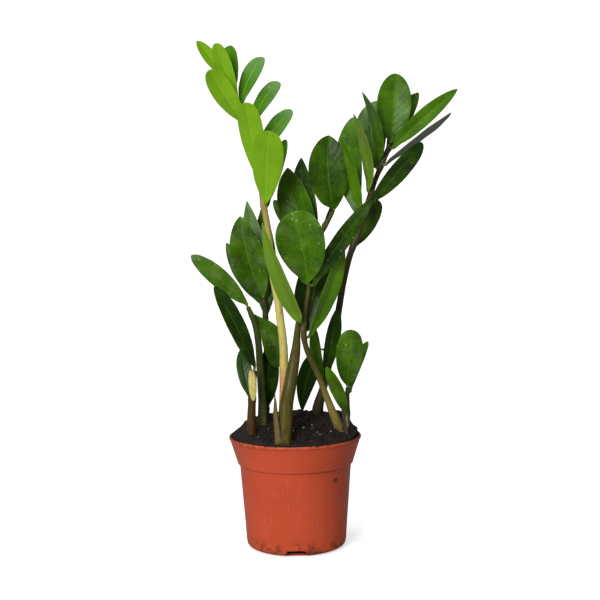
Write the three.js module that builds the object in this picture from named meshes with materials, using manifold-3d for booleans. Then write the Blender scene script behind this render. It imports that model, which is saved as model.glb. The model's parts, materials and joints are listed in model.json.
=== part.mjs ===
// Potted zz plant: a plastic nursery pot, its potting soil, eight leaf stalks and their leaflets.
// Millimetres, +Z up, the pot stands on z = 0 and the front of the plant faces -Y.
import * as THREE from "three";
import { mergeVertices } from "three/addons/utils/BufferGeometryUtils.js";
import Module from "manifold-3d";

const wasm = await Module();
wasm.setup();

// ---------------------------------------------------------------- driving dimensions
const RIM_RADIUS = 52.5;
const POT_HEIGHT = 88.5;
const COLLAR_FOOT_Z = 67;
const COLLAR_FOOT_RADIUS = 46.1;
const BODY_TOP_RADIUS = 44.5;
const BASE_RADIUS = 39.6;
const BASE_ROUNDING = 6;
const WALL = 1.5;
const POT_SIDES = 72;
const DRAIN_COUNT = 4;
const DRAIN_WIDTH = 16;
const DRAIN_TOP_Z = 5.6;
const DRAIN_REACH = 6.5;
const GAP = 0.3;
const SOIL_EDGE_Z = 86;
const SOIL_MOUND = 12;
const SOIL_TILT = 0.22;
const SOIL_SIDES = 44;
const SOIL_RINGS = 9;
const STEM_SIDES = 8;
const LEAF_THICKNESS = 1.5;

// ---------------------------------------------------------------- small helpers
const DOWN_FRONT = new THREE.Vector3(0, -1, 0);

function colour(hex, roughness) {
  return new THREE.MeshStandardMaterial({ color: hex, roughness, metalness: 0 });
}

const materials = {
  pot: () => colour(0xbb5238, 0.45),
  soil: () => colour(0x2a1f19, 0.95),
  stem: () => colour(0x6f6a30, 0.5),
  youngStem: () => colour(0xaca25d, 0.5),
  leaf: () => colour(0x3d5f18, 0.3),
  youngLeaf: () => colour(0x83b02f, 0.4),
  sheath: () => colour(0x8a7a48, 0.7),
};

function solidOf(geometry) {
  const bare = geometry.clone();
  bare.deleteAttribute("normal");
  bare.deleteAttribute("uv");
  const merged = mergeVertices(bare, 1e-4);
  return new wasm.Manifold(
    new wasm.Mesh({
      numProp: 3,
      vertProperties: new Float32Array(merged.attributes.position.array),
      triVerts: new Uint32Array(merged.index.array),
    }),
  );
}

function geometryOf(solid) {
  const mesh = solid.getMesh();
  const geometry = new THREE.BufferGeometry();
  const points = new Float32Array(mesh.numVert * 3);
  for (let i = 0; i < mesh.numVert; i++) {
    for (let k = 0; k < 3; k++) {
      points[3 * i + k] = mesh.vertProperties[mesh.numProp * i + k];
    }
  }
  geometry.setAttribute("position", new THREE.BufferAttribute(points, 3));
  geometry.setIndex(new THREE.BufferAttribute(new Uint32Array(mesh.triVerts), 1));
  geometry.computeVertexNormals();
  return geometry;
}

// A closed skin over a row of rings. The first and the last ring are single points.
function skin(rings, sides) {
  const last = rings.length - 1;
  const geometry = new THREE.SphereGeometry(1, sides, last);
  const position = geometry.attributes.position;
  for (let row = 0; row <= last; row++) {
    for (let side = 0; side <= sides; side++) {
      const ring = rings[row];
      const p = ring.length === 1 ? ring[0] : ring[(sides - side) % sides];
      position.setXYZ(row * (sides + 1) + side, p.x, p.y, p.z);
    }
  }
  geometry.computeVertexNormals();
  return geometry;
}

const plant = new THREE.Group();
plant.name = "potted_zz_plant";

function add(name, geometry, material) {
  const mesh = new THREE.Mesh(geometry, material);
  mesh.name = name;
  plant.add(mesh);
  return mesh;
}

// ---------------------------------------------------------------- pot
function turned(profile, sides) {
  const points = profile.map(([radius, z]) => new THREE.Vector2(radius, z));
  const geometry = new THREE.LatheGeometry(points, sides);
  geometry.rotateX(Math.PI / 2);
  return geometry;
}

const potProfile = [
  [0, 0],
  [BASE_RADIUS - BASE_ROUNDING, 0],
  [BASE_RADIUS - 0.48 * BASE_ROUNDING, 0.12 * BASE_ROUNDING],
  [BASE_RADIUS - 0.15 * BASE_ROUNDING, 0.45 * BASE_ROUNDING],
  [BASE_RADIUS, BASE_ROUNDING],
  [BODY_TOP_RADIUS, COLLAR_FOOT_Z],
  [COLLAR_FOOT_RADIUS, COLLAR_FOOT_Z],
  [RIM_RADIUS - 0.5, POT_HEIGHT - 2.2],
  [RIM_RADIUS, POT_HEIGHT - 1.4],
  [RIM_RADIUS, POT_HEIGHT - 0.5],
  [RIM_RADIUS - 0.6, POT_HEIGHT],
  [RIM_RADIUS - 1.7, POT_HEIGHT],
  [RIM_RADIUS - 2.2, POT_HEIGHT - 0.6],
  [COLLAR_FOOT_RADIUS - WALL, COLLAR_FOOT_Z],
  [BODY_TOP_RADIUS - WALL, COLLAR_FOOT_Z - 1.2],
  [BASE_RADIUS - WALL, BASE_ROUNDING + 1],
  [BASE_RADIUS - WALL - 0.2 * BASE_ROUNDING, 0.55 * BASE_ROUNDING],
  [BASE_RADIUS - WALL - 0.8 * BASE_ROUNDING, WALL + 0.2],
  [0, WALL + 0.2],
];

// A drain notch: an arch with round shoulders, cut up into the foot of the pot from below.
function drainNotch(angle) {
  const half = DRAIN_WIDTH / 2;
  const shoulder = 3;
  const outline = new THREE.Shape();
  outline.moveTo(-half, -2);
  outline.lineTo(half, -2);
  outline.lineTo(half, DRAIN_TOP_Z - shoulder);
  outline.absarc(half - shoulder, DRAIN_TOP_Z - shoulder, shoulder, 0, Math.PI / 2, false);
  outline.absarc(-half + shoulder, DRAIN_TOP_Z - shoulder, shoulder, Math.PI / 2, Math.PI, false);
  outline.lineTo(-half, -2);
  const notch = new THREE.ExtrudeGeometry(outline, { depth: 12, bevelEnabled: false, curveSegments: 5 });
  notch.rotateX(Math.PI / 2);
  notch.translate(0, -BASE_RADIUS + DRAIN_REACH, 0);
  notch.rotateZ(angle);
  return notch;
}

let pot = solidOf(turned(potProfile, POT_SIDES));
for (let i = 0; i < DRAIN_COUNT; i++) {
  pot = pot.subtract(solidOf(drainNotch((i * 2 * Math.PI) / DRAIN_COUNT)));
}
add("pot", geometryOf(pot), materials.pot());

// ---------------------------------------------------------------- stems
// Each row: centre x, y, z and radius, from the foot in the soil to the top.
const stems = {
  front_stem: {
    young: false,
    path: [
      [-10, -36, 68, 3.5],
      [-9, -38, 84, 5.9],
      [-8, -38, 95, 5.7],
      [-7, -37, 108, 5.5],
      [-6, -36, 119, 5.2],
      [-4, -36, 129, 5.0],
      [-2, -34, 139, 4.7],
      [0, -31, 150, 4.2],
      [2, -25, 162, 3.3],
      [3, -18, 173, 2.5],
      [5, -12, 184, 2.3],
      [7, -6, 196, 2.2],
      [14, 4, 228, 2.0],
      [22, 9, 247, 1.9],
      [28, 12, 257, 1.7],
      [33, 14, 266, 1.4],
    ],
  },
  young_stem: {
    young: true,
    path: [
      [-9, -6, 72, 2.6],
      [-9, -8, 95, 4.0],
      [-8, -9, 120, 3.6],
      [-8, -10, 143, 3.2],
      [-8, -11, 160, 3.0],
      [-10, -12, 180, 2.9],
      [-12, -13, 197, 2.8],
      [-16, -14, 220, 2.6],
      [-18, -14, 247, 2.4],
      [-22, -14, 273, 2.1],
      [-25, -13, 294, 1.9],
      [-30, -12, 317, 1.6],
      [-35, -11, 335, 1.4],
      [-41, -10, 352, 1.2],
      [-46, -9, 362, 1.0],
      [-51, -9, 371, 0.8],
    ],
  },
  leaning_stem: {
    young: false,
    path: [
      [38, -12, 70, 2.6],
      [37, -13, 84, 4.4],
      [35, -14, 95, 4.2],
      [30, -16, 108, 3.2],
      [23, -18, 127, 2.5],
      [18, -19, 140, 2.3],
      [11, -20, 156, 2.2],
      [8, -22, 170, 2.1],
      [9, -23, 184, 1.9],
      [11, -24, 198, 1.7],
      [13, -25, 211, 1.4],
    ],
  },
  tall_stem: {
    young: false,
    path: [
      [17, 18, 74, 2.4],
      [18, 18, 92, 3.8],
      [19, 17, 108, 3.3],
      [23, 16, 122, 2.4],
      [27, 15, 138, 2.1],
      [32, 12, 158, 2.0],
      [36, 8, 185, 2.0],
      [39, 6, 203, 1.9],
      [43, 4, 222, 1.9],
      [48, 3, 238, 1.8],
      [56, 2, 258, 1.7],
      [61, 1, 275, 1.6],
      [66, 0, 290, 1.5],
      [72, -1, 304, 1.4],
      [78, -1, 318, 1.2],
    ],
  },
  left_stem: {
    young: false,
    path: [
      [-25, 3, 72, 2.2],
      [-26, 2, 92, 3.2],
      [-26, 1, 110, 2.6],
      [-27, -2, 140, 2.2],
      [-28, -3, 162, 2.0],
      [-31, -4, 179, 1.7],
      [-36, -5, 192, 1.3],
    ],
  },
  short_left_stem: {
    young: false,
    path: [
      [-33, -11, 70, 2.2],
      [-34, -12, 88, 3.2],
      [-34, -13, 104, 2.8],
      [-33, -14, 122, 2.3],
      [-31, -16, 143, 1.7],
    ],
  },
  back_stem: {
    young: false,
    path: [
      [-24, 22, 74, 2.2],
      [-25, 22, 93, 3.2],
      [-24, 22, 115, 2.5],
      [-23, 21, 138, 2.2],
      [-22, 19, 165, 2.0],
      [-23, 17, 185, 1.7],
      [-24, 16, 197, 1.3],
    ],
  },
  short_right_stem: {
    young: false,
    path: [
      [41, -1, 72, 1.8],
      [41, -3, 88, 2.6],
      [42, -4, 103, 2.0],
      [42, -4, 116, 1.7],
      [42, -4, 127, 1.3],
    ],
  },
};

function curveThrough(path) {
  return new THREE.CatmullRomCurve3(path.map(([x, y, z]) => new THREE.Vector3(x, y, z)), false, "centripetal");
}

// Where a stem passes a height: its centre, direction and radius there.
function stationAt(stem, z) {
  const path = stem.path;
  const top = path.length - 1;
  let low = 0;
  let high = 1;
  for (let pass = 0; pass < 40; pass++) {
    const middle = (low + high) / 2;
    if (stem.curve.getPoint(middle).z < z) low = middle;
    else high = middle;
  }
  const along = low * top;
  const i = Math.min(Math.floor(along), top - 1);
  const f = along - i;
  return {
    centre: stem.curve.getPoint(low),
    tangent: stem.curve.getTangent(low),
    radius: path[i][3] * (1 - f) + path[i + 1][3] * f,
  };
}

// Round rings square to the path, closed at both ends. Grown by `grow` all round for a socket.
function stemRings(stem, grow) {
  const path = stem.path;
  const top = path.length - 1;
  const rings = [];
  for (let i = 0; i <= top; i++) {
    const centre = new THREE.Vector3(path[i][0], path[i][1], path[i][2]);
    const tangent = stem.curve.getTangent(i / top);
    const across = new THREE.Vector3(1, 0, 0).addScaledVector(tangent, -tangent.x).normalize();
    const around = new THREE.Vector3().crossVectors(tangent, across);
    const radius = path[i][3] + grow;
    if (i === 0) rings.push([centre.clone().addScaledVector(tangent, -0.6 * radius - grow)]);
    const ring = [];
    for (let side = 0; side < STEM_SIDES; side++) {
      const angle = (side * 2 * Math.PI) / STEM_SIDES;
      const p = centre.clone();
      p.addScaledVector(across, radius * Math.cos(angle));
      p.addScaledVector(around, radius * Math.sin(angle));
      ring.push(p);
    }
    rings.push(ring);
    if (i === top) rings.push([centre.clone().addScaledVector(tangent, 0.5 * radius + grow)]);
  }
  return rings;
}

for (const stem of Object.values(stems)) {
  stem.curve = curveThrough(stem.path);
}

// ---------------------------------------------------------------- sheaths
// A pointed husk that hugs the foot of a stem: its foot, its tip, its width and the stem beside it.
const sheaths = [
  { name: "front_stem_husk", foot: [-16.8, -38.5, 86], tip: [-14.3, -38, 127], out: [-1, -0.35, 0], width: 11, bulge: 2.8 },
  { name: "leaning_stem_husk", foot: [42.2, -17, 86], tip: [36, -19.5, 117], out: [0.9, -0.5, 0], width: 7, bulge: 0.6 },
  { name: "short_left_stem_husk", foot: [-33, -18.6, 143], tip: [-32, -18.4, 119], out: [0.1, -1, 0], width: 7, bulge: 0.3 },
  { name: "short_right_stem_husk", foot: [40.5, -7, 86], tip: [41, -7.6, 106], out: [-0.2, -1, 0], width: 4.5, bulge: 0.3 },
];

// ---------------------------------------------------------------- leaf blades
// Four edges run from the foot of a blade to its tip: left rim, upper midrib, right rim, lower midrib.
const LEAF_STEPS = [0.025, 0.09, 0.19, 0.31, 0.43, 0.55, 0.67, 0.78, 0.88, 0.95, 0.985];

// Width of a blade from foot (t = 0) to tip (t = 1): it swells as t^swell and closes as (1 - t)^close.
function bladeProfile(t, swell, close) {
  const peak = swell / (swell + close);
  const body = Math.pow(t / peak, swell) * Math.pow((1 - t) / (1 - peak), close);
  const stalk = 0.1 * (1 - t);
  return Math.max(body, stalk * Math.min(1, 30 * (1 - t)));
}

function bladeRings(blade) {
  const { foot, tip, width, roll, bend, fold, sway, thick, swell, close } = blade;
  const axis = tip.clone().sub(foot).normalize();
  const face = DOWN_FRONT.clone().addScaledVector(axis, -DOWN_FRONT.dot(axis)).normalize();
  face.applyAxisAngle(axis, THREE.MathUtils.degToRad(roll));
  const across = new THREE.Vector3().crossVectors(axis, face).normalize();
  const spine = (t) => {
    const p = foot.clone().lerp(tip, t);
    p.addScaledVector(face, bend * 4 * t * (1 - t));
    p.addScaledVector(across, sway * 4 * t * (1 - t));
    return p;
  };
  const rings = [[foot.clone()]];
  for (const t of LEAF_STEPS) {
    const centre = spine(t);
    const tangent = spine(t + 0.01).sub(spine(t - 0.01)).normalize();
    const side = across.clone().addScaledVector(tangent, -across.dot(tangent)).normalize();
    const normal = new THREE.Vector3().crossVectors(side, tangent).normalize();
    if (normal.dot(face) < 0) normal.negate();
    const half = (width / 2) * bladeProfile(t, swell, close);
    const deep = (thick / 2) * (1 - 0.6 * t) * Math.min(1, 0.35 + 3 * half / width);
    const lift = fold * half;
    rings.push([
      centre.clone().addScaledVector(side, -half).addScaledVector(normal, lift),
      centre.clone().addScaledVector(normal, deep),
      centre.clone().addScaledVector(side, half).addScaledVector(normal, lift),
      centre.clone().addScaledVector(normal, -deep),
    ]);
  }
  rings.push([tip.clone()]);
  return rings;
}

// A leaflet grows out of the side of its stem at height `at`, and runs to `tip`.
// roll 0 turns its upper face to the front, 90 to the right, 180 away from the front.
function leaflet(name, stemName, at, tip, width, roll, options = {}) {
  const stem = stems[stemName];
  const { bend = 4, fold = 0.2, sway = 0, off = 0.9, thick = LEAF_THICKNESS, swell = 0.75, close = 0.6 } = options;
  const station = stationAt(stem, at);
  const end = new THREE.Vector3(...tip);
  const toward = end.clone().sub(station.centre).normalize();
  const out = toward.clone().addScaledVector(station.tangent, -toward.dot(station.tangent)).normalize();
  const foot = station.centre.clone().addScaledVector(out, station.radius + off);
  if (options.crown) foot.copy(station.centre).addScaledVector(station.tangent, 0.5 * station.radius + options.crown);
  const rings = bladeRings({ foot, tip: end, width, roll, bend, fold, sway, thick, swell, close });
  add(name, skin(rings, 4), stem.young ? materials.youngLeaf() : materials.leaf());
}

// ---------------------------------------------------------------- soil
function soilHeight(x, y) {
  const r = Math.hypot(x, y) / (RIM_RADIUS - 4);
  const heap = Math.max(5, Math.min(17, SOIL_MOUND + SOIL_TILT * y + 0.1 * x));
  const mound = heap * (1 - Math.pow(Math.min(r, 1), 8));
  const lumps = 0.9 * Math.sin(0.23 * x + 1.1) * Math.cos(0.21 * y - 0.4) + 0.6 * Math.sin(0.47 * x - 0.39 * y);
  return SOIL_EDGE_Z + mound + lumps * (1 - 0.6 * r);
}

function innerWallRadius(z) {
  if (z >= COLLAR_FOOT_Z) {
    const f = (z - COLLAR_FOOT_Z) / (POT_HEIGHT - 0.6 - COLLAR_FOOT_Z);
    return COLLAR_FOOT_RADIUS - WALL + f * (RIM_RADIUS - 2.2 - COLLAR_FOOT_RADIUS + WALL);
  }
  const g = (z - BASE_ROUNDING - 1) / (COLLAR_FOOT_Z - 1.2 - BASE_ROUNDING - 1);
  return BASE_RADIUS - WALL + Math.max(0, Math.min(1, g)) * (BODY_TOP_RADIUS - BASE_RADIUS);
}

function soilRings() {
  const ring = (radius, height) => {
    const points = [];
    for (let side = 0; side < SOIL_SIDES; side++) {
      const angle = (side * 2 * Math.PI) / SOIL_SIDES;
      const x = radius * Math.cos(angle);
      const y = radius * Math.sin(angle);
      points.push(new THREE.Vector3(x, y, height === null ? soilHeight(x, y) : height));
    }
    return points;
  };
  const floor = WALL + 0.2 + GAP;
  const clear = GAP + 0.15;
  const edge = innerWallRadius(SOIL_EDGE_Z - 1.5) - clear;
  const rings = [[new THREE.Vector3(0, 0, floor)]];
  rings.push(ring(BASE_RADIUS - WALL - 0.8 * BASE_ROUNDING - clear, floor));
  rings.push(ring(BASE_RADIUS - WALL - 0.2 * BASE_ROUNDING - clear - 0.2, 0.55 * BASE_ROUNDING + 0.4));
  rings.push(ring(innerWallRadius(BASE_ROUNDING + 1) - clear, BASE_ROUNDING + 1.3));
  rings.push(ring(innerWallRadius(COLLAR_FOOT_Z - 1.5) - clear, COLLAR_FOOT_Z - 1.5));
  rings.push(ring(innerWallRadius(COLLAR_FOOT_Z + 0.2) - clear, COLLAR_FOOT_Z + 0.2));
  rings.push(ring(edge, SOIL_EDGE_Z - 1.5));
  for (let i = 0; i < SOIL_RINGS; i++) {
    rings.push(ring((edge - 0.6) * (1 - i / SOIL_RINGS), null));
  }
  rings.push([new THREE.Vector3(0, 0, soilHeight(0, 0))]);
  return rings;
}

let soil = solidOf(skin(soilRings(), SOIL_SIDES));

for (const [name, stem] of Object.entries(stems)) {
  soil = soil.subtract(solidOf(skin(stemRings(stem, GAP), STEM_SIDES)));
  const own = skin(stemRings(stem, 0), STEM_SIDES);
  add(name, own, stem.young ? materials.youngStem() : materials.stem());
}

for (const { name, foot, tip, out, width, bulge } of sheaths) {
  const make = (grow) => {
    const from = new THREE.Vector3(...foot);
    const to = new THREE.Vector3(...tip);
    const steps = [0.02, 0.14, 0.3, 0.5, 0.7, 0.88];
    const outward = new THREE.Vector3(...out).normalize();
    const up = to.clone().sub(from).normalize();
    const side = new THREE.Vector3().crossVectors(up, outward).normalize();
    const rings = [[from.clone().addScaledVector(up, -grow * 2)]];
    for (const t of steps) {
      const centre = from.clone().lerp(to, t).addScaledVector(outward, bulge * Math.sin(Math.PI * t));
      const half = (width / 2) * (1 - 0.9 * Math.pow(t, 1.6)) + grow;
      const deep = 0.55 + grow;
      rings.push([
        centre.clone().addScaledVector(side, -half).addScaledVector(outward, -0.25 * half),
        centre.clone().addScaledVector(outward, deep),
        centre.clone().addScaledVector(side, half).addScaledVector(outward, -0.25 * half),
        centre.clone().addScaledVector(outward, -deep),
      ]);
    }
    rings.push([to.clone().addScaledVector(up, grow * 2)]);
    return skin(rings, 4);
  };
  soil = soil.subtract(solidOf(make(GAP)));
  add(name, make(0), materials.sheath());
}

add("soil", geometryOf(soil), materials.soil());

// ---------------------------------------------------------------- leaflets
const A = "young_stem";
leaflet("young_leaflet_1", A, 272, [-16, -36, 326], 25, 170, { bend: 2, fold: 0.15, off: 1.8, sway: 1, close: 0.45 });
leaflet("young_leaflet_2", A, 290, [-34, -30, 348], 19, 168, { bend: 2, fold: 0.15, close: 0.4 });
leaflet("young_leaflet_3", A, 335, [-61, -28, 373], 18, 165, { bend: 2, fold: 0.15, sway: 1, close: 0.5 });
leaflet("young_leaflet_4", A, 370, [-71, -16, 397], 11, 160, { bend: 1, crown: 1.1, close: 0.7 });
leaflet("young_leaflet_5", A, 358, [-51, 6, 395], 18, -25, { bend: 2, sway: 2, swell: 1, close: 0.45 });
leaflet("young_leaflet_6", A, 349, [-22, 8, 388], 16, -28, { bend: 2, sway: -1, close: 0.45 });
leaflet("young_leaflet_7", A, 331, [-10, 10, 369], 15, -28, { bend: 2, swell: 0.85, close: 0.42 });
leaflet("young_leaflet_8", A, 308, [0, 10, 347], 16, -28, { bend: 2, close: 0.5 });
leaflet("young_leaflet_9", A, 270, [-5, 8, 323], 15, -45, { bend: 2, sway: 3, close: 0.5 });
leaflet("young_leaflet_10", A, 352, [-56, -22, 394], 13, 165, { bend: 1, sway: 1, close: 0.45 });

const B = "front_stem";
leaflet("front_leaflet_1", B, 266, [30, 8, 326], 32, 5, { bend: 3, crown: 0.8, sway: -3, close: 0.68 });
leaflet("front_leaflet_2", B, 246, [8, 26, 310], 18, -10, { bend: 3, sway: -3, close: 0.85 });
leaflet("front_leaflet_3", B, 243, [-3, 10, 301], 28, -22, { bend: 4, sway: -3, close: 0.8 });
leaflet("front_leaflet_4", B, 254, [36, 32, 285], 11, 60, { bend: 2 });
leaflet("front_leaflet_5", B, 236, [-15, 34, 276], 12, -10, { bend: 2 });

const C = "leaning_stem";
leaflet("leaning_leaflet_1", C, 180, [-22, -48, 257], 21, -52, { bend: 3, swell: 0.45, close: 0.85 });
leaflet("leaning_leaflet_2", C, 168, [39, -20, 243], 18, 45, { bend: 4, sway: 1, close: 0.7 });
leaflet("leaning_leaflet_3", C, 210, [0, -36, 265], 37, -5, { bend: 3, fold: 0.45, sway: 3, swell: 0.85, close: 0.5 });
leaflet("leaning_leaflet_5", C, 173, [24, 6, 236], 30, 0, { bend: 3, off: 2.2, swell: 0.6, close: 0.7 });
leaflet("leaning_leaflet_4", C, 209, [62, -36, 275], 15, 25, { bend: 2, sway: -3, close: 0.7 });

const D = "tall_stem";
leaflet("tall_leaflet_1", D, 318, [83, 4, 373], 27, 0, { bend: 3, crown: 0.5, swell: 0.7, close: 0.6 });
leaflet("tall_leaflet_2", D, 315, [129, -14, 358], 13, 10, { bend: 4, sway: -2, close: 0.75 });
leaflet("tall_leaflet_3", D, 311, [103, 22, 360], 14, 10, { bend: 3, sway: -3, close: 0.7 });
leaflet("tall_leaflet_4", D, 302, [121, -34, 338], 20, 75, { bend: -1 });
leaflet("tall_leaflet_5", D, 272, [99, -34, 316], 16, 25, { bend: 1, close: 0.5 });
leaflet("tall_leaflet_6", D, 304, [55, -22, 356], 22, -75, { bend: -5, fold: 0.1, close: 0.8 });
leaflet("tall_leaflet_7", D, 280, [48, -26, 339], 22, -72, { bend: -5, fold: 0.1, close: 0.8 });
leaflet("tall_leaflet_8", D, 261, [40, -20, 320], 20, -70, { bend: -2, fold: 0.1, off: 1.6, close: 0.8 });
leaflet("tall_leaflet_9", D, 298, [69, 30, 355], 26, -20, { bend: 4, sway: -3, close: 0.65 });
leaflet("tall_leaflet_10", D, 262, [51, 38, 343], 22, -20, { bend: 3, sway: -4, off: 7, close: 0.65 });
leaflet("tall_leaflet_11", D, 238, [70, 24, 275], 17, 20, { bend: -3, sway: 1, off: 1.6, close: 0.42 });
leaflet("tall_leaflet_12", D, 132, [17, -2, 174], 12, -40, { bend: 3 });
leaflet("tall_leaflet_13", D, 134, [35, -2, 189], 13, 20, { bend: 3, sway: -1 });
leaflet("tall_leaflet_14", D, 152, [6, 20, 103], 17, -15, { bend: -3, sway: 3, off: 9, swell: 0.5, close: 0.9 });

const F = "left_stem";
leaflet("left_leaflet_1", F, 192, [-79, -14, 233], 15, 10, { bend: 3, crown: 0.5, sway: 1 });
leaflet("left_leaflet_2", F, 184, [-14, 8, 141], 21, -25, { bend: 4, sway: -5, off: 2.4, swell: 1.0, close: 0.6 });

const G = "short_left_stem";
leaflet("short_left_leaflet_1", G, 143, [-59, -42, 210], 18, 45, { bend: 4, crown: 1.2, sway: -2 });
leaflet("short_left_leaflet_2", G, 120, [-41, 4, 158], 12, 0, { bend: 3, sway: -1 });

const H = "back_stem";
leaflet("back_leaflet_1", H, 196, [-41, 2, 263], 27, 0, { bend: 3, fold: 0.45, crown: 1.2, sway: -3, close: 0.75 });
leaflet("back_leaflet_2", H, 190, [-37, 34, 276], 20, 0, { bend: 3, close: 0.95 });
leaflet("back_leaflet_3", H, 182, [-25, 42, 272], 20, 10, { bend: 3, close: 0.95 });
leaflet("back_leaflet_4", H, 193, [-54, 26, 242], 14, -20, { bend: 3, close: 0.75 });
leaflet("back_leaflet_5", H, 106, [-20, 10, 160], 17, 20, { bend: 3 });

const R = "short_right_stem";
leaflet("short_right_leaflet_1", R, 127, [45, -22, 174], 21, -5, { bend: 3, crown: 0.5, swell: 0.65, close: 0.4 });
leaflet("short_right_leaflet_2", R, 122, [60, 12, 161], 9, 20, { bend: 2, sway: -4 });
leaflet("short_right_leaflet_3", R, 106, [25, -28, 146], 11, -20, { bend: 2, sway: 2 });

export default plant;
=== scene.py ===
import json
import math

import bpy
import numpy as np
from mathutils import Matrix, Vector

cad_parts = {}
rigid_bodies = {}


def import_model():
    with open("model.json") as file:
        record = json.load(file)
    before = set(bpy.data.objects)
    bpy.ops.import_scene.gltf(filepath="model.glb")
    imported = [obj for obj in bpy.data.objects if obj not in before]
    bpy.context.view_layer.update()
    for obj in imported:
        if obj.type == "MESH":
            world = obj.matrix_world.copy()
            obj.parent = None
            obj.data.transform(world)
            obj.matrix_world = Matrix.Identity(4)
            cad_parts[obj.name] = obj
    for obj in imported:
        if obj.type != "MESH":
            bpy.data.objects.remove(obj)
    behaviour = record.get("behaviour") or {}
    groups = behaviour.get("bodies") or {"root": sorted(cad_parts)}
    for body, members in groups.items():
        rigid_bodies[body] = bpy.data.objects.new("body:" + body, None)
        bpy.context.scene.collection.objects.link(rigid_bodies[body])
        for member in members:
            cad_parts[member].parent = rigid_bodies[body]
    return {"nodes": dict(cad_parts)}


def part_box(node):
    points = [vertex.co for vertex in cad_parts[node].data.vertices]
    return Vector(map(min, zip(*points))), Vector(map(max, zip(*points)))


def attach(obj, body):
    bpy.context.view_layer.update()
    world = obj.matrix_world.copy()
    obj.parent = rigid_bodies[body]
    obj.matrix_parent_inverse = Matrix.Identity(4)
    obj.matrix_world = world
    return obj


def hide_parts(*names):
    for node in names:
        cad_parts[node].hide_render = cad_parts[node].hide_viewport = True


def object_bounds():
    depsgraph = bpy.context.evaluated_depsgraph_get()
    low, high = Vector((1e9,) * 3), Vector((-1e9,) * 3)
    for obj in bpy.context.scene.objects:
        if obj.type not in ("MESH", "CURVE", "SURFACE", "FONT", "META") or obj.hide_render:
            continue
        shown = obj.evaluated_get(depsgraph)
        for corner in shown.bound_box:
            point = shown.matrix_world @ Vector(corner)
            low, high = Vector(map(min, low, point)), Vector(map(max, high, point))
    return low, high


for leftover in list(bpy.data.objects):
    bpy.data.objects.remove(leftover)

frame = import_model()
cad_low, cad_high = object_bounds()
cad_low, cad_high = np.array(cad_low), np.array(cad_high)
scene = bpy.context.scene

LEAF_ROWS = 56
LEAF_COLUMNS = 22
STEM_SIDES = 28
STEM_ROWS = 150
POT_SIDES = 240
NOTCHES = 4
FOOT_INSET = 0.0129  # how far the body's foot lies inside the rim
COLLAR_Z = 0.067
INNER_COLLAR_R = 0.0446  # inner radius of the wall at the collar's foot, and its growth with height
INNER_SLOPE = 0.2727
STAIN_AT = (0.0305, -0.0305, 0.0585)
SOIL_EDGE_R = 0.0496
SOIL_SIDES = 260
SOIL_RINGS = 110
CRUMBS = 1500
BARK_CHIPS = 120
PERLITE = 80
USUAL_FOLD = 0.8  # share of a frame blade's fold that its drawn blade keeps
ROUND_TIP, SHARP_TIP = 1.9, 1.25


# ------------------------------------------------------------------ camera, floor and lights
def place_camera():
    """A portrait-length lens a little above the plant, looking slightly down at it."""
    at = Vector((0.0054, -0.843, 0.250))
    pitch = math.atan2(0.054, 0.843)
    roll = math.radians(0.8)
    forward = Vector((0, math.cos(pitch), -math.sin(pitch)))
    upward = Vector((0, math.sin(pitch), math.cos(pitch)))
    right = Vector((1, 0, 0))
    side = right * math.cos(roll) - upward * math.sin(roll)
    top = right * math.sin(roll) + upward * math.cos(roll)
    turn = Matrix((side, top, -forward)).transposed().to_4x4()
    lens = bpy.data.cameras.new("camera")
    lens.sensor_width = 36
    lens.lens = 63.96
    lens.clip_end = 50
    camera = bpy.data.objects.new("camera", lens)
    camera.matrix_world = Matrix.Translation(at) @ turn
    scene.collection.objects.link(camera)
    scene.camera = camera


def soft_light(name, at, towards, size, watts, warmth=(1, 1, 1)):
    lamp = bpy.data.lights.new(name, "AREA")
    lamp.shape = "RECTANGLE"
    lamp.size, lamp.size_y = size
    lamp.energy = watts
    lamp.color = warmth
    thing = bpy.data.objects.new(name, lamp)
    thing.location = at
    thing.rotation_euler = (Vector(towards) - Vector(at)).to_track_quat("-Z", "Y").to_euler()
    scene.collection.objects.link(thing)


def pale_paint():
    """Matt white that glows a little where it is seen, and throws only a little light back."""
    paint = bpy.data.materials.new("floor_pale")
    paint.use_nodes = True
    nodes, links = paint.node_tree.nodes, paint.node_tree.links
    nodes.clear()
    seen = nodes.new("ShaderNodeLightPath").outputs["Is Camera Ray"]
    white, dim = nodes.new("ShaderNodeBsdfDiffuse"), nodes.new("ShaderNodeBsdfDiffuse")
    white.inputs["Color"].default_value = (0.62, 0.62, 0.62, 1)
    dim.inputs["Color"].default_value = (0.3, 0.3, 0.3, 1)
    glow = nodes.new("ShaderNodeEmission")
    glow.inputs["Strength"].default_value = 0.6
    both = nodes.new("ShaderNodeAddShader")
    links.new(white.outputs[0], both.inputs[0])
    links.new(glow.outputs[0], both.inputs[1])
    mix = nodes.new("ShaderNodeMixShader")
    links.new(seen, mix.inputs[0])
    links.new(dim.outputs[0], mix.inputs[1])
    links.new(both.outputs[0], mix.inputs[2])
    links.new(mix.outputs[0], nodes.new("ShaderNodeOutputMaterial").inputs[0])
    return paint


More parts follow.
